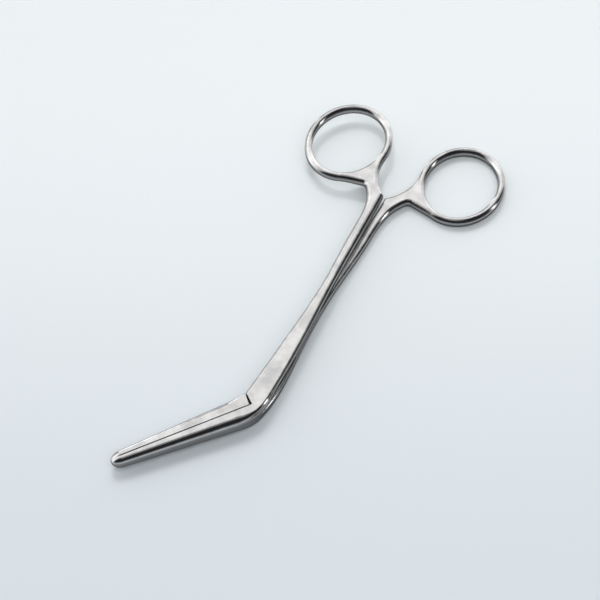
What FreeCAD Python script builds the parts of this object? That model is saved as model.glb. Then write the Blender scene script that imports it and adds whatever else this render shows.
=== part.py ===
import FreeCAD, Part
import math
import os

Vector = FreeCAD.Vector

# The frame: the origin is on the pivot's axis, level with the table that the
# forceps lie on. +Y runs along the shanks to the finger rings, +Z is up.
# The upper arm has the left ring and the outer jaw, the lower arm has the
# right ring and the inner jaw. "Outer" on a shank is the side of its own ring.

# Arms and lap joint
arm_thickness = 2.9
lap_gap = 0.06
edge_round = 0.8
neck_round = 1.3
seam_round = 0.4
ring_round = 1.02
plate_outer = 3.35
plate_inner = 2.9
plate_drop = 2.0
hip_reach = 13.5
hip_outer = 2.45
hip_inner = 2.55
waist_reach = 37.0
waist_outer = 1.72
waist_inner = 1.2
grip_reach = 57.0
grip_outer = 2.62
grip_inner = 0.55

# Finger rings
upper_ring_offset = 18.35
lower_ring_offset = 18.05
upper_ring_reach = 87.85
lower_ring_reach = 89.25
upper_ring_lean = 1.2
lower_ring_lean = 2.3
ring_half_width = 10.6
ring_half_length = 13.1
ring_band = 2.15

# Where the shank runs into its ring, as drops below the ring's centre
neck_drop = 17.2
neck_outer = 4.3
crotch_drop = 13.0
crotch_offset = 6.9
crotch_round = 1.4
crotch_leaves_ring = 196.0
throat_drop = 9.0
throat_offset = 4.4
throat_leaves_ring = -95.0
layer_spare = 2.0
lug_drop = 15.0
lug_overlap = 0.05

# Jaws: both are cut from one tapered bar that is bent away from the shanks
jaw_angle = 39.0
jaw_offset = 6.26
shoulder_reach = 8.3
shoulder_gap = 0.3
shoulder_gap_growth = 0.55
bend_radius = 16.0
plate_joins_bend = 11.0
jaw_length = 41.0
jaw_root_width = 4.3
jaw_taper = 0.057
jaw_thickness_taper = 0.047
jaw_start_round = 0.95
jaw_root_round = 1.9
jaw_end_round = 1.45
jaw_inset = 0.02
tip_length = 3.3
parting_gap = 0.1
groove_width = 0.34
groove_depth = 0.17
tooth_pitch = 1.0
tooth_depth = 0.28
tooth_margin = 1.5
tooth_field = 2.8
slice_spare = 0.5
root_slices = 6
tip_slices = 5
tip_last_angle = 72.0

# Rivet
rivet_diameter = 3.2
rivet_head_diameter = 4.4
rivet_head_depth = 0.6
rivet_clearance = 0.02

stack = 2 * arm_thickness + lap_gap
upper_floor = arm_thickness + lap_gap
middle = stack / 2
tip_reach = shoulder_reach + jaw_length
jaw_full_reach = tip_reach - tip_length

# Blocks to cut with reach past the faces by the spare, or far past everything.
spare = 1.0
far = 200.0
nearly = 0.001

turn = math.radians(jaw_angle)
along_jaw = Vector(-math.sin(turn), -math.cos(turn), 0)
out_of_jaw = Vector(math.cos(turn), -math.sin(turn), 0)
up = Vector(0, 0, 1)


# A place on the jaws: distance along them from the pivot, distance out from
# the parting plane towards the outer jaw, and height.
def jaw_point(along, out, height=0.0):
    return along_jaw * along + out_of_jaw * (jaw_offset + out) + up * height


# The outer wall of the bend is one arc, from the plate's straight side to the
# jaw's tapered side, and ends where its slope is the jaw's taper.
taper_angle = math.atan(jaw_taper)
bend_centre_x = plate_inner - bend_radius


def bend_centre_y():
    # The jaw's tapered side, produced, is tangent to the arc.
    side_at_root = jaw_root_width + jaw_taper * shoulder_reach
    level = (side_at_root + jaw_offset) * math.cos(taper_angle) - bend_radius
    normal = out_of_jaw * math.cos(taper_angle) + along_jaw * math.sin(taper_angle)
    return (level - normal.x * bend_centre_x) / normal.y


bend_centre = Vector(bend_centre_x, bend_centre_y(), 0)
bend_along = bend_centre.dot(along_jaw)
bend_out = bend_centre.dot(out_of_jaw) - jaw_offset
bend_end = bend_along + bend_radius * math.sin(taper_angle)


# How far the outer jaw's wall stands out at a distance along the jaws.
def outer_wall(along):
    if along < bend_end:
        return bend_out + math.sqrt(bend_radius ** 2 - (along - bend_along) ** 2)
    return inner_wall(along)


def inner_wall(along):
    return jaw_root_width - jaw_taper * (along - shoulder_reach)


def bend_point(angle):
    a = math.radians(angle)
    return bend_centre + Vector(math.cos(a), -math.sin(a), 0) * bend_radius


def spline(points, start=None, finish=None):
    curve = Part.BSplineCurve()
    tangents = [Vector(0, 0, 0)] * len(points)
    fixed = [False] * len(points)
    if start is not None:
        tangents[0] = start
        fixed[0] = True
    if finish is not None:
        tangents[-1] = finish
        fixed[-1] = True
    curve.interpolate(Points=points, Tangents=tangents, TangentFlags=fixed)
    return curve.toShape()


def line(a, b):
    return Part.makeLine(a, b)


# Where a finger ring is. The side is -1 for the upper arm's and 1 for the
# lower arm's, and the lean is in degrees towards -X.
class Ring:
    def __init__(self, side, offset, reach, lean):
        self.side = side
        self.centre = Vector(side * offset, reach, 0)
        self.lean = math.radians(lean)

    # A place given by its distance out from the mid-plane and its drop below
    # the ring's centre.
    def place(self, offset, drop):
        return Vector(self.side * offset, self.centre.y - drop, 0)


# An oval round a ring's centre. Its first point is the ring's far end, and
# its angle grows towards the outer side.
class Oval:
    def __init__(self, ring, margin):
        along_ring = Vector(-math.sin(ring.lean), math.cos(ring.lean), 0)
        across_ring = Vector(math.cos(ring.lean), math.sin(ring.lean), 0) * ring.side
        self.centre = ring.centre
        self.far = along_ring * (ring_half_length + margin)
        self.outer = across_ring * (ring_half_width + margin)

    def point(self, angle):
        a = math.radians(angle)
        return self.centre + self.far * math.cos(a) + self.outer * math.sin(a)

    def tangent(self, angle):
        a = math.radians(angle)
        return self.outer * math.cos(a) - self.far * math.sin(a)

    def curve(self):
        far_point = self.centre + self.far
        outer_point = self.centre + self.outer
        return Part.Ellipse(far_point, outer_point, self.centre)

    def arc(self, start, finish):
        ellipse = self.curve()
        return Part.ArcOfEllipse(ellipse, math.radians(start), math.radians(finish)).toShape()


# The flat outline of one arm from its ring to just past the shoulder
def arm_outline(ring):
    def place(offset, y):
        return Vector(ring.side * offset, y, 0)

    band = Oval(ring, ring_band)
    crotch = ring.place(crotch_offset, crotch_drop)
    lug = ring.place(-lug_overlap, lug_drop)
    overrun = shoulder_reach + layer_spare
    jaw_side_start = jaw_point(shoulder_reach, -inner_wall(shoulder_reach))
    bend_overrun = jaw_point(overrun, outer_wall(overrun))
    bend_middle = jaw_point(shoulder_reach, outer_wall(shoulder_reach))

    outer_points = [
        place(plate_outer, -plate_drop),
        place(hip_outer, hip_reach),
        place(waist_outer, waist_reach),
        place(grip_outer, grip_reach),
        ring.place(neck_outer, neck_drop),
        crotch,
    ]
    inner_points = [
        lug,
        place(-grip_inner, grip_reach),
        place(-waist_inner, waist_reach),
        place(-hip_inner, hip_reach),
        place(-plate_inner, 0),
    ]
    throat = ring.place(throat_offset, throat_drop)
    leaves_crotch = band.point(crotch_leaves_ring)
    leaves_throat = band.point(throat_leaves_ring)
    crotch_start = leaves_crotch - crotch

    edges = [
        spline([crotch, leaves_crotch], crotch_start, band.tangent(crotch_leaves_ring) * -1),
        band.arc(throat_leaves_ring, crotch_leaves_ring),
        spline([leaves_throat, throat, lug], band.tangent(throat_leaves_ring) * -1),
    ]
    if ring.side < 0:
        # The inner side runs straight down the plate and round the bend.
        bend_start = bend_point(0)
        edges.append(spline(inner_points, None, Vector(0, -1, 0)))
        edges.append(line(inner_points[-1], bend_start))
        edges.append(Part.Arc(bend_start, bend_middle, bend_overrun).toShape())
        edges.append(line(bend_overrun, jaw_side_start))
        edges.append(spline([jaw_side_start] + outer_points))
    else:
        # The outer side runs down the plate and joins the same bend.
        bend_start = bend_point(plate_joins_bend)
        from_centre = bend_start - bend_centre
        edges.append(spline(inner_points + [jaw_side_start]))
        edges.append(line(jaw_side_start, bend_overrun))
        edges.append(Part.Arc(bend_start, bend_middle, bend_overrun).toShape())
        edges.append(spline([bend_start] + outer_points, up.cross(from_centre)))
    return Part.Wire(Part.__sortEdges__(edges))


# One arm's flat layer: rounded in the crotch between shank and ring, open
# inside the ring, and with both faces' edges rounded.
def arm_layer(ring, floor):
    outline = arm_outline(ring)
    outline.translate(up * floor)
    layer = Part.Face(outline).extrude(up * arm_thickness)
    crotch = ring.place(crotch_offset, crotch_drop)
    layer = layer.makeFillet(crotch_round, [upright_edge(layer, crotch)])
    hole = Oval(ring, 0.0).curve().toShape()
    opening = Part.Face(Part.Wire(hole))
    opening.translate(up * (floor - spare))
    layer = layer.cut(opening.extrude(up * (arm_thickness + 2 * spare)))
    top = floor + arm_thickness
    outer_face, seam_face = (top, floor) if ring.side < 0 else (floor, top)
    layer = rounded_face(layer, outer_face, ring, edge_round, neck_round)
    return rounded_face(layer, seam_face, ring, seam_round, ring_round)


# Rounds one face's edges. The rounding of the shank's inner side grows from
# the plate's to the neck's, that of its outer side to the ring's.
def rounded_face(layer, height, ring, at_plate, at_neck):
    sides = []
    rest = []
    for edge in level_edges(layer, height):
        if len(edge.Vertexes) > 1 and edge.BoundBox.YLength > waist_reach:
            sides.append(edge)
        else:
            size = at_plate if edge.CenterOfMass.y < 0 else ring_round
            rest.append((edge, size, size))
    sides.sort(key=lambda edge: edge.CenterOfMass.x * ring.side)
    grown = [growing(sides[0], at_plate, at_neck), growing(sides[1], at_plate, ring_round)]
    return filleted(layer, grown + rest)


def growing(edge, at_plate, at_ring):
    starts_at_ring = edge.valueAt(edge.FirstParameter).y > waist_reach
    if starts_at_ring:
        return (edge, at_ring, at_plate)
    return (edge, at_plate, at_ring)


# Fillets whose radius runs evenly from an edge's start to its end.
def filleted(solid, rounds):
    document = FreeCAD.newDocument()
    sharp = document.addObject("Part::Feature", "sharp")
    sharp.Shape = solid
    smooth = document.addObject("Part::Fillet", "smooth")
    smooth.Base = sharp
    smooth.Edges = [(edge_number(solid, edge), first, last) for edge, first, last in rounds]
    document.recompute()
    result = smooth.Shape.copy()
    FreeCAD.closeDocument(document.Name)
    return result


def edge_number(solid, edge):
    return [other.isSame(edge) for other in solid.Edges].index(True) + 1


def upright_edge(solid, corner):
    def off_corner(edge):
        centre = edge.CenterOfMass
        return math.hypot(centre.x - corner.x, centre.y - corner.y)

    return min([edge for edge in solid.Edges if is_upright(edge)], key=off_corner)


def is_upright(edge):
    a = edge.Vertexes[0].Point
    b = edge.Vertexes[-1].Point
    return math.hypot(a.x - b.x, a.y - b.y) < nearly and abs(a.z - b.z) > nearly


# The long edges of one face of a layer, without the line that closes it.
def level_edges(solid, height):
    edges = []
    for edge in solid.Edges:
        box = edge.BoundBox
        level = abs(box.ZMin - height) < nearly and abs(box.ZMax - height) < nearly
        if level and not is_closing(edge):
            edges.append(edge)
    return edges


def is_closing(edge):
    chord = edge.Vertexes[0].Point - edge.Vertexes[-1].Point
    straight = abs(edge.Length - chord.Length) < nearly
    return straight and edge.CenterOfMass.dot(along_jaw) > shoulder_reach


# A block over a range along the jaws and out from the parting plane
def jaw_block(along, out, heights):
    corners = [
        jaw_point(along[0], out[0]),
        jaw_point(along[1], out[0]),
        jaw_point(along[1], out[1]),
        jaw_point(along[0], out[1]),
    ]
    return prism(corners, heights[0], heights[1])


def round_bar(diameter, floor, height):
    return Part.makeCylinder(diameter / 2, height, Vector(0, 0, floor))


# The jaw bar's size at a distance along it
def bar_depth(along):
    return stack - jaw_thickness_taper * (along - shoulder_reach)


def bar_round(along):
    if along < bend_end:
        part = (along - shoulder_reach) / (bend_end - shoulder_reach)
        part = part * part * (3 - 2 * part)
        return jaw_start_round + (jaw_root_round - jaw_start_round) * part
    part = (along - bend_end) / (jaw_full_reach - bend_end)
    return jaw_root_round + (jaw_end_round - jaw_root_round) * part


# A slice through one jaw, set in a hair from the layers that it grows out of.
# The jaw is 1 for the outer one and -1 for the inner one.
def jaw_slice(jaw, along, scale=1.0):
    measured = min(along, jaw_full_reach)
    wall = outer_wall(measured) if jaw > 0 else inner_wall(measured)
    wall = (wall - jaw_inset) * scale
    half = (bar_depth(measured) / 2 - jaw_inset) * scale
    radius = bar_round(measured) * scale
    cheek = radius * (1 - math.sqrt(0.5))

    def at(out, height):
        return jaw_point(along, jaw * out, middle + height)

    low_arc = Part.Arc(at(wall - radius, -half), at(wall - cheek, cheek - half), at(wall, radius - half))
    high_arc = Part.Arc(at(wall, half - radius), at(wall - cheek, half - cheek), at(wall - radius, half))
    return Part.Wire([
        line(at(-slice_spare, -half), at(wall - radius, -half)),
        low_arc.toShape(),
        line(at(wall, radius - half), at(wall, half - radius)),
        high_arc.toShape(),
        line(at(wall - radius, half), at(-slice_spare, half)),
        line(at(-slice_spare, half), at(-slice_spare, -half)),
    ])


def jaw_bar(jaw):
    root_run = (bend_end - shoulder_reach) / root_slices
    root = [jaw_slice(jaw, shoulder_reach + root_run * i) for i in range(root_slices + 1)]
    body = [jaw_slice(jaw, bend_end), jaw_slice(jaw, jaw_full_reach)]
    tip = []
    for i in range(tip_slices + 1):
        angle = math.radians(tip_last_angle * i / tip_slices)
        along = jaw_full_reach + tip_length * math.sin(angle)
        tip.append(jaw_slice(jaw, along, math.cos(angle)))
    bar = Part.makeLoft(root, True, False)
    bar = bar.fuse(Part.makeLoft(body, True, True))
    return bar.fuse(Part.makeLoft(tip, True, False))


# The space on the far side of the parting line, to cut a jaw with. The middle
# of both jaws' faces has the same zigzag of teeth, which close into each other
# between two plain rims.
def parting_space(jaw):
    shift = jaw * parting_gap / 2
    first = shoulder_reach + tooth_margin
    count = int((tip_reach - first) / tooth_pitch)
    zigzag = [jaw_point(first, shift)]
    for i in range(count):
        start = first + i * tooth_pitch
        zigzag.append(jaw_point(start + tooth_pitch / 4, shift + tooth_depth / 2))
        zigzag.append(jaw_point(start + tooth_pitch * 3 / 4, shift - tooth_depth / 2))
    zigzag.append(jaw_point(first + count * tooth_pitch, shift))
    ends = [jaw_point(far, shift), jaw_point(far, -jaw * far), jaw_point(-far, -jaw * far), jaw_point(-far, shift)]
    field_floor = middle - tooth_field / 2
    field_top = middle + tooth_field / 2
    space = prism(ends, -spare, field_floor)
    space = space.fuse(prism(zigzag + ends, field_floor, field_top))
    space = space.fuse(prism(ends, field_top, stack + spare))
    return space.fuse(rim_groove(1)).fuse(rim_groove(-1))


# The shallow groove that the jaws' eased rims make along the parting line, on
# the upper face for side 1 and the lower face for side -1.
def rim_groove(side):
    ends = []
    for along in (shoulder_reach + shoulder_gap, tip_reach):
        half = bar_depth(along) / 2 - jaw_inset
        corners = [
            jaw_point(along, -groove_width, middle + side * (half + groove_depth)),
            jaw_point(along, groove_width, middle + side * (half + groove_depth)),
            jaw_point(along, 0, middle + side * (half - groove_depth)),
        ]
        ends.append(Part.makePolygon(corners + [corners[0]]))
    return Part.makeLoft(ends, True, True)


def prism(corners, floor, top):
    outline = Part.makePolygon(corners + [corners[0]])
    outline.translate(up * floor)
    return Part.Face(outline).extrude(up * (top - floor))


shoulder_radius = math.hypot(shoulder_reach, jaw_offset + parting_gap / 2)
whole_height = (-spare, stack + spare)
beyond_shoulder = jaw_block((shoulder_reach, far), (-far, far), whole_height)
outer_side = jaw_block((-far, far), (-parting_gap / 2, far), whole_height)

# Upper arm: its own layer up to the shoulder, a wedge below it outside the
# lower arm's plate, and the outer jaw.
upper_ring = Ring(-1, upper_ring_offset, upper_ring_reach, upper_ring_lean)
upper_arm = arm_layer(upper_ring, upper_floor)
upper_arm = upper_arm.cut(beyond_shoulder)
wedge = Part.Face(arm_outline(upper_ring))
wedge = wedge.extrude(up * (upper_floor + edge_round))
wedge = wedge.common(jaw_block((0, shoulder_reach), (parting_gap / 2, far), whole_height))
wedge = wedge.cut(round_bar(2 * shoulder_radius, -spare, stack))
wedge_edges = []
for edge in wedge.Edges:
    on_bend = abs(getattr(edge.Curve, "Radius", 0) - bend_radius) < nearly
    if on_bend and edge.BoundBox.ZMax < nearly:
        wedge_edges.append(edge)
wedge = wedge.makeFillet(edge_round, wedge_edges)
outer_jaw = jaw_bar(1).cut(parting_space(1))
upper_arm = upper_arm.fuse(wedge).fuse(outer_jaw)

# Lower arm: its own layer up to the shoulder, and the inner jaw, which starts
# above that layer beyond the shoulder's gap. The gap is widest at the parting.
lower_ring = Ring(1, lower_ring_offset, lower_ring_reach, lower_ring_lean)
lower_arm = arm_layer(lower_ring, 0.0)
lower_arm = lower_arm.cut(beyond_shoulder)
plate_round_bar = round_bar(2 * (shoulder_radius - lap_gap), -2 * spare, stack + 4 * spare)
lower_arm = lower_arm.cut(outer_side.cut(plate_round_bar))
inner_jaw = jaw_bar(-1).cut(parting_space(-1))
narrow_gap = shoulder_reach + shoulder_gap
wide_gap = narrow_gap + shoulder_gap_growth
gap_corners = [
    jaw_point(0, -jaw_root_width - spare),
    jaw_point(narrow_gap, -jaw_root_width - spare),
    jaw_point(narrow_gap, -jaw_root_width),
    jaw_point(wide_gap, 0),
    jaw_point(wide_gap, spare),
    jaw_point(0, spare),
]
inner_jaw = inner_jaw.cut(prism(gap_corners, arm_thickness, stack + spare))
lower_arm = lower_arm.fuse(inner_jaw)


# Rivet: a shaft with two sunk heads, ground flush with both plates
def rivet_solid(clearance):
    shaft = round_bar(rivet_diameter + 2 * clearance, 0, stack)
    small = rivet_diameter / 2 + clearance
    wide = rivet_head_diameter / 2 + clearance
    low_head = Part.makeCone(wide, small, rivet_head_depth)
    high_head = Part.makeCone(small, wide, rivet_head_depth, up * (stack - rivet_head_depth))
    return shaft.fuse(low_head).fuse(high_head).removeSplitter()


pivot_rivet = rivet_solid(0.0)
upper_arm = upper_arm.cut(rivet_solid(rivet_clearance)).removeSplitter()
lower_arm = lower_arm.cut(pivot_rivet).removeSplitter()

os.makedirs("parts", exist_ok=True)
for name, shape in (("upper_arm", upper_arm), ("lower_arm", lower_arm), ("pivot_rivet", pivot_rivet)):
    shape.exportStep("parts/" + name + ".step")
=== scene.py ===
import math
import bpy
import bmesh
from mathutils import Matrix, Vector

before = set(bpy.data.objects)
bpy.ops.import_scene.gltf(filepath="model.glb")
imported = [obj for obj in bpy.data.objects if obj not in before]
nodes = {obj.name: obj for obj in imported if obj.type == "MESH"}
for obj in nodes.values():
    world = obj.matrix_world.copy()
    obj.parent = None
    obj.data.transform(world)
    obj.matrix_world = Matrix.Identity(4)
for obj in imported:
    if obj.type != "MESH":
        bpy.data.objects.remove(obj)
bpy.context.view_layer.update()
mm = 0.001
scene = bpy.context.scene


def linearColour(hexCode):
    parts = []
    for i in (1, 3, 5):
        c = int(hexCode[i:i + 2], 16) / 255
        parts.append(c / 12.92 if c <= 0.04045 else ((c + 0.055) / 1.055) ** 2.4)
    return (*parts, 1.0)


def addNode(tree, kind, settings=None, sockets=None):
    # settings are the node's own; a socket takes a value or another node's output
    node = tree.nodes.new(kind)
    for name, value in (settings or {}).items():
        setattr(node, name, value)
    for name, value in (sockets or {}).items():
        if isinstance(value, bpy.types.NodeSocket):
            tree.links.new(value, node.inputs[name])
        else:
            node.inputs[name].default_value = value
    return node


def maths(tree, operation, *values):
    sockets = dict(enumerate(values))
    return addNode(tree, "ShaderNodeMath", {"operation": operation}, sockets).outputs[0]


def vectorMaths(tree, operation, first, second):
    settings = {"operation": operation}
    return addNode(tree, "ShaderNodeVectorMath", settings, {0: first, 1: second}).outputs["Value"]


def ease(tree, value, start, end, before=0.0, after=1.0):
    # a smooth step from one level to another
    return addNode(tree, "ShaderNodeMapRange", {"interpolation_type": "SMOOTHSTEP"}, {
        "Value": value,
        "From Min": start,
        "From Max": end,
        "To Min": before,
        "To Max": after,
    }).outputs[0]


def spread(tree, value, start, end, before=0.0, after=1.0):
    # the same in a straight line
    return addNode(tree, "ShaderNodeMapRange", None, {
        "Value": value,
        "From Min": start,
        "From Max": end,
        "To Min": before,
        "To Max": after,
    }).outputs[0]


def blend(tree, share, first, second):
    # a mix node's colours are its sockets 6 and 7, and their mix is output 2
    sockets = {0: share, 6: first, 7: second}
    return addNode(tree, "ShaderNodeMix", {"data_type": "RGBA"}, sockets).outputs[2]


def noise(tree, where, scale, detail):
    return addNode(tree, "ShaderNodeTexNoise", None, {
        "Vector": where,
        "Scale": scale,
        "Detail": detail,
    }).outputs[0]


def bump(tree, strength, distance, height, below=None, invert=False):
    sockets = {"Strength": strength, "Distance": distance, "Height": height}
    if below is not None:
        sockets["Normal"] = below
    return addNode(tree, "ShaderNodeBump", {"invert": invert}, sockets).outputs[0]


def newMaterial(name):
    material = bpy.data.materials.new(name)
    material.use_nodes = True
    material.node_tree.nodes.clear()
    return material, material.node_tree


# Stainless steel, drop forged, then ground to a satin on the flats and buffed
# on the rounded edges: the flats give a soft even grey and the edges mirror
# the room as thin light and dark lines.
steel = {
    "colourLight": "#e0dfde",
    "colourDark": "#c4c3c3",
    "cloudSize": 4.0 * mm,
    "cloudDetail": 4.0,
    "cloudFrom": 0.35,
    "cloudTo": 0.65,
    # painted shade: the walls' colour is darker than the flats', standing in for the shaded table
    # that the walls mirror
    "paintedWallShade": "#9c9b9b",
    "wallLevel": 0.15,  # a face's level is the upward share of its normal
    "topLevel": 0.55,
    "edgeTint": "#8c8c8e",
    "flatFrom": 0.955,
    "flatTo": 0.998,
    "satinRoughness": 0.26,
    "buffedRoughness": 0.09,
    "roughnessSpread": 0.05,
    "seamHeight": 2.93 * mm,
    "armMiddle": 1.48 * mm,
    "crownSlope": 0.28,
    "crownSoftness": 0.3 * mm,
    "crownFadeFrom": 0.0,
    "crownFadeTo": 6.0 * mm,
    "jawAngle": 39.0,
    "bendPlace": (2.4 * mm, -9.0 * mm, 4.4 * mm),
    "bendNear": 3.5 * mm,
    "bendFar": 8.0 * mm,
    "bendFoot": 3.9 * mm,
    "bendSlope": 0.62,
    "bendEdgeShare": 0.2,
    "waveSize": 3.0 * mm,
    "waveDepth": 0.02 * mm,
    "waveDetail": 1.0,
    "grainSize": 0.12 * mm,
    "grainDepth": 0.004 * mm,
    "grainDetail": 2.0,
    "lineWidth": 0.10 * mm,
    "lineLength": 7.0 * mm,
    "lineDepth": 0.003 * mm,
    "lineDetail": 3.0,
}


def steelColour(tree, cloud, level):
    # cloudy on the ground faces; the walls are painted darker, a painted shade that stands in for
    # the shaded table that they mirror
    patches = spread(tree, cloud, steel["cloudFrom"], steel["cloudTo"])
    dark, light, wall = (
        linearColour(steel[name]) for name in ("colourDark", "colourLight", "paintedWallShade")
    )
    ground = blend(tree, patches, dark, light)
    onTop = ease(tree, level, steel["wallLevel"], steel["topLevel"])
    # the painted wall shade goes where the normal leans away from straight up
    colour = blend(tree, onTop, wall, ground)
    return colour, maths(tree, "SUBTRACT", 1.0, onTop)


def wallCrown(tree, place, height):
    # each arm's walls are ground to a slight crown about the arm's middle
    # height; this fades out where the jaws begin
    offSeam = maths(tree, "ABSOLUTE", maths(tree, "SUBTRACT", height, steel["seamHeight"]))
    offMiddle = maths(tree, "SUBTRACT", offSeam, steel["armMiddle"])
    squared = maths(tree, "MULTIPLY_ADD", offMiddle, offMiddle, steel["crownSoftness"] ** 2)
    turn = math.radians(steel["jawAngle"])
    jawDirection = (-math.sin(turn), -math.cos(turn), 0.0)
    alongJaw = vectorMaths(tree, "DOT_PRODUCT", place.outputs["Object"], jawDirection)
    onArm = ease(tree, alongJaw, steel["crownFadeFrom"], steel["crownFadeTo"], 1.0, 0.0)
    return bump(tree, onArm, steel["crownSlope"], maths(tree, "SQRT", squared), invert=True)


def bendLean(tree, place, height, wallShare, below):
    # round the bend the upper arm's wall leans in more, from its foot up
    fromBend = vectorMaths(tree, "DISTANCE", place.outputs["Object"], steel["bendPlace"])
    atBend = ease(tree, fromBend, steel["bendFar"], steel["bendNear"])
    share = maths(tree, "MAXIMUM", wallShare, steel["bendEdgeShare"])
    strength = maths(tree, "MULTIPLY", atBend, share)
    overFoot = maths(tree, "SUBTRACT", height, steel["bendFoot"])
    lean = maths(tree, "SMOOTH_MAX", overFoot, 0.0, steel["crownSoftness"])
    return bump(tree, strength, steel["bendSlope"], lean, below, invert=True)


def steelMaterial(name):
    material, tree = newMaterial(name)
    place = addNode(tree, "ShaderNodeTexCoord")
    where = place.outputs["Object"]
    height = addNode(tree, "ShaderNodeSeparateXYZ", None, {"Vector": where}).outputs["Z"]
    facing = addNode(tree, "ShaderNodeSeparateXYZ", None, {"Vector": place.outputs["Normal"]})
    level = maths(tree, "ABSOLUTE", facing.outputs["Z"])
    flat = ease(tree, level, steel["flatFrom"], steel["flatTo"])
    cloud = noise(tree, where, 1 / steel["cloudSize"], steel["cloudDetail"])
    colour, wallShare = steelColour(tree, cloud, level)
    roughBase = spread(tree, flat, 0.0, 1.0, steel["buffedRoughness"], steel["satinRoughness"])
    roughness = maths(tree, "MULTIPLY_ADD", cloud, steel["roughnessSpread"], roughBase)

    # the walls' shape, a slight wave, then the grain and grinding lines of the flats
    crown = wallCrown(tree, place, height)
    lean = bendLean(tree, place, height, wallShare, crown)
    wave = noise(tree, where, 1 / steel["waveSize"], steel["waveDetail"])
    waved = bump(tree, 1.0, steel["waveDepth"], wave, lean)
    grain = noise(tree, where, 1 / steel["grainSize"], steel["grainDetail"])
    grained = bump(tree, flat, steel["grainDepth"], grain, waved)
    lineSpace = addNode(tree, "ShaderNodeMapping", None, {
        "Vector": where,
        "Scale": (1 / steel["lineWidth"], 1 / steel["lineLength"], 1 / steel["lineWidth"]),
    })
    lines = noise(tree, lineSpace.outputs[0], 1.0, steel["lineDetail"])
    lined = bump(tree, flat, steel["lineDepth"], lines, grained)

    shader = addNode(tree, "ShaderNodeBsdfPrincipled", None, {
        "Base Color": colour,
        "Specular Tint": linearColour(steel["edgeTint"]),
        "Metallic": 1.0,
        "Roughness": roughness,
        "Normal": lined,
    })
    addNode(tree, "ShaderNodeOutputMaterial", None, {"Surface": shader.outputs[0]})
    return material


# The rivet is ground together with the plates, so its ends have the same steel
armSteel = steelMaterial("satinStainlessSteel")
rivetSteel = steelMaterial("groundStainlessRivet")
for nodeName, material in (
    ("upper_arm", armSteel),
    ("lower_arm", armSteel),
    ("pivot_rivet", rivetSteel),
):
    for slot in nodes[nodeName].material_slots:
        slot.material = material
print("steel assigned")


# Away from the camera and to its right, along the table
backward = (-0.44514, 0.89546)
rightward = (0.89546, 0.44514)

# The table: a smooth white laminate, so pale that it lights the steel from below
table = {
    "far": "#eef4f6",
    "near": "#d8e0e6",
    "nearEdge": -85 * mm,
    "farEdge": 120 * mm,
    "roughness": 0.42,
    "size": 6.0,
    "height": -0.02 * mm,
}


def makeTable():
    mesh = bpy.data.meshes.new("table")
    form = bmesh.new()
    bmesh.ops.create_grid(form, x_segments=1, y_segments=1, size=table["size"] / 2)
    bmesh.ops.translate(form, verts=form.verts, vec=(0, 0, table["height"]))
    form.to_mesh(mesh)
    form.free()
    board = bpy.data.objects.new("table", mesh)
    scene.collection.objects.link(board)
    material, tree = newMaterial("whiteLaminate")
    place = addNode(tree, "ShaderNodeTexCoord")
    # painted falloff of light: the table's colour is painted darker and bluer towards the camera
    # and lighter away from it, towards the light behind
    depth = vectorMaths(tree, "DOT_PRODUCT", place.outputs["Object"], (*backward, 0.0))
    fade = ease(tree, depth, table["nearEdge"], table["farEdge"])
    shader = addNode(tree, "ShaderNodeBsdfPrincipled", None, {
        "Base Color": blend(tree, fade, linearColour(table["near"]), linearColour(table["far"])),
        "Roughness": table["roughness"],
    })
    addNode(tree, "ShaderNodeOutputMaterial", None, {"Surface": shader.outputs[0]})
    mesh.materials.append(material)


makeTable()

# The camera stands where the photograph's view angle puts it
view = {
    "place": (0.140375, -0.264396, 0.431308),
    "target": (-0.006416, 0.030890, 0.0),
    "lens": 114.3,
    "sensor": 36,
    "nearest": 10 * mm,
}


def makeCamera():
    data = bpy.data.cameras.new("camera")
    data.lens = view["lens"]
    data.sensor_width = view["sensor"]
    data.clip_start = view["nearest"]
    camera = bpy.data.objects.new("camera", data)
    camera.location = view["place"]
    look = Vector(view["target"]) - Vector(view["place"])
    camera.rotation_euler = look.to_track_quat("-Z", "Y").to_euler()
    scene.collection.objects.link(camera)
    scene.camera = camera


makeCamera()

# The room, as the steel mirrors it: a wide pale diffuser behind and to the
# left, and the dark on the camera's side, which the buffed edges show as black
# lines. Each stop is a cosine from the way that the diffuser faces, and a grey.
# A faint glow lies round the horizon and another one overhead, both given by
# the upward share of a direction. Two narrow windows, from a low end to a high
# end, make the glints. A direction is given as right, back and up.
room = {
    "diffuserFaces": (-0.46, 0.867, -0.195),
    "stops": (
        (-0.06, "#202022"),
        (0.05, "#929292"),
        (0.15, "#bebebe"),
        (0.32, "#cacaca"),
        (0.42, "#fafafa"),
        (0.60, "#f4f4f4"),
        (0.80, "#8c8c8c"),
    ),
    "strength": 1.6,
    "glowColour": "#f2f4f6",
    "horizon": {"from": 0.42, "to": 0.12, "power": 0.34},
    "overhead": {"from": 0.97, "to": 0.995, "power": 0.34},
    "windows": (
        {
            "low": (0.994, -0.09, 0.057),
            "high": (0.706, 0.112, 0.699),
            "halfWidth": 4.5,
            "power": 3.0,
        },
        {
            "low": (-0.354, 0.934, 0.039),
            "high": (-0.304, 0.888, 0.343),
            "halfWidth": 4.0,
            "power": 3.0,
        },
    ),
    "windowCore": 0.4,  # share of the half width that is fully bright
    "windowEnds": (1.15, 0.85),  # where the ends fade, as shares of the half length
    "seenColour": "#eceef0",
}
# Two lamps that only light, and are kept out of the steel's reflections: the
# softbox behind throws the shadows, the wide fill lightens them.
softbox = {"aim": (-0.1, 0.574, 0.81), "distance": 1.1, "size": 0.28, "power": 2.6}
fill = {"aim": (0.2, -0.40, 0.89), "distance": 1.0, "size": 1.2, "power": 5.6}


def roomDirection(parts):
    right, back, height = parts
    x = rightward[0] * right + backward[0] * back
    y = rightward[1] * right + backward[1] * back
    return Vector((x, y, height)).normalized()


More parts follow.
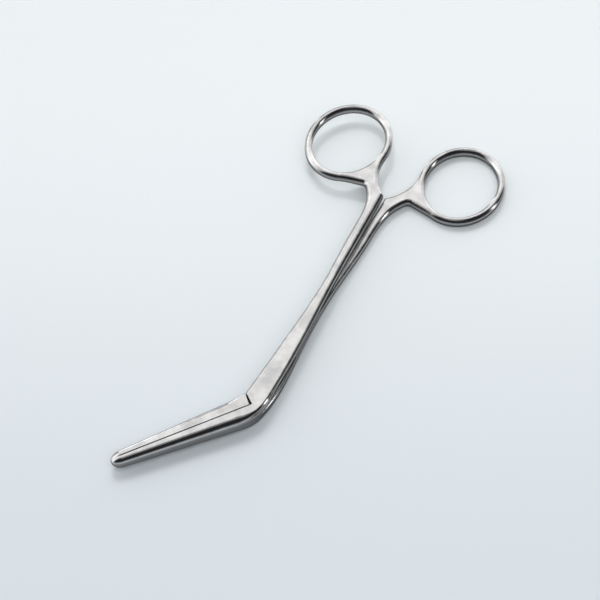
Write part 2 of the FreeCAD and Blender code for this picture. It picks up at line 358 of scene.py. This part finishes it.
def diffuserLight(tree, look):
    side = vectorMaths(tree, "DOT_PRODUCT", look, roomDirection(room["diffuserFaces"]))
    ramp = addNode(tree, "ShaderNodeValToRGB", None, {0: spread(tree, side, -1.0, 1.0)})
    stops = ramp.color_ramp.elements
    for n, (cosine, grey) in enumerate(room["stops"]):
        position = 0.5 + 0.5 * cosine
        stop = stops[n] if n < 2 else stops.new(position)
        stop.position = position
        stop.color = linearColour(grey)
    return addNode(tree, "ShaderNodeBackground", None, {
        "Color": ramp.outputs[0],
        "Strength": room["strength"],
    })


def windowPower(tree, look, window):
    # by the distance from the great circle through both ends, and from its middle
    low = roomDirection(window["low"])
    high = roomDirection(window["high"])
    offCircle = vectorMaths(tree, "DOT_PRODUCT", look, low.cross(high).normalized())
    offLine = maths(tree, "ABSOLUTE", offCircle)
    halfWidth = math.radians(window["halfWidth"])
    narrow = ease(tree, offLine, math.sin(halfWidth), math.sin(halfWidth * room["windowCore"]))
    along = vectorMaths(tree, "DOT_PRODUCT", look, (low + high).normalized())
    outer, inner = (math.cos(low.angle(high) / 2 * share) for share in room["windowEnds"])
    return maths(tree, "MULTIPLY", narrow, ease(tree, along, outer, inner, 0.0, window["power"]))


def makeRoom():
    world = bpy.data.worlds.new("room")
    world.use_nodes = True
    scene.world = world
    tree = world.node_tree
    tree.nodes.clear()
    look = addNode(tree, "ShaderNodeTexCoord").outputs["Generated"]
    height = addNode(tree, "ShaderNodeSeparateXYZ", None, {0: look}).outputs["Z"]
    lights = [diffuserLight(tree, look)]
    for glow in (room["horizon"], room["overhead"]):
        lights.append(addNode(tree, "ShaderNodeBackground", None, {
            "Color": linearColour(room["glowColour"]),
            "Strength": ease(tree, height, glow["from"], glow["to"], 0.0, glow["power"]),
        }))
    for window in room["windows"]:
        lights.append(addNode(tree, "ShaderNodeBackground", None, {
            "Strength": windowPower(tree, look, window),
        }))
    light = lights[0]
    for other in lights[1:]:
        light = addNode(tree, "ShaderNodeAddShader", None, {
            0: light.outputs[0],
            1: other.outputs[0],
        })
    pale = addNode(tree, "ShaderNodeBackground", None, {"Color": linearColour(room["seenColour"])})
    ray = addNode(tree, "ShaderNodeLightPath")
    seen = addNode(tree, "ShaderNodeMixShader", None, {
        0: ray.outputs["Is Camera Ray"],
        1: light.outputs[0],
        2: pale.outputs[0],
    })
    addNode(tree, "ShaderNodeOutputWorld", None, {"Surface": seen.outputs[0]})


def makeLamp(name, lamp):
    data = bpy.data.lights.new(name, "AREA")
    data.shape = "SQUARE"
    data.size = lamp["size"]
    data.energy = lamp["power"]
    body = bpy.data.objects.new(name, data)
    aim = roomDirection(lamp["aim"])
    body.location = Vector(view["target"]) + aim * lamp["distance"]
    body.rotation_euler = (-aim).to_track_quat("-Z", "Y").to_euler()
    body.visible_glossy = False
    scene.collection.objects.link(body)


makeRoom()
makeLamp("softbox", softbox)
makeLamp("fill", fill)
scene.view_settings.view_transform = "Standard"
print("table, camera and room ready")
